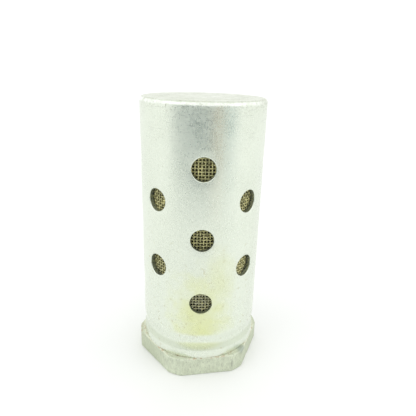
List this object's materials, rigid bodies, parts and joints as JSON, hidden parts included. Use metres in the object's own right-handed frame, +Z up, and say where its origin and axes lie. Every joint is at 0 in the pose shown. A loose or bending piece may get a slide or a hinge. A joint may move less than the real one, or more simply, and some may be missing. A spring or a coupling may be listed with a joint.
{
  "type": "pneumatic muffler",
  "caption": "Screw-on exhaust muffler for compressed air: perforated aluminium shell rolled onto a hexagonal cast base with a female pipe port.",
  "frame": {"origin": "centre of the hexagonal base's underside, on the axis of the inlet port", "axes": "+Z up the muffler towards its closed top; -Y towards the front column of three exhaust holes"},
  "size_m": [0.0346, 0.0334, 0.0719],
  "materials": {
    "shell_aluminium": "satin drawn aluminium, dulled and lightly tarnished",
    "base_casting": "dull die casting with brown stains at the joint",
    "brass_wire": "tarnished woven wire",
    "screen_wire": "darkened woven wire",
    "felt": "dense wool felt",
    "plated_steel": "zinc-plated sheet steel",
    "gasket_rubber": "matt nitrile rubber"
  },
  "bodies": {
    "root": {"hex_base": "base_casting", "body_shell": "shell_aluminium", "base_gasket": "gasket_rubber", "lower_end_ring": "plated_steel", "diffuser_tube": "plated_steel", "diffuser_plug": "plated_steel", "core_screen": "screen_wire", "felt_sleeve": "felt", "support_screen": "screen_wire", "outer_screen": "brass_wire", "upper_end_plate": "plated_steel", "top_pad": "felt"}
  },
  "joints": []
}
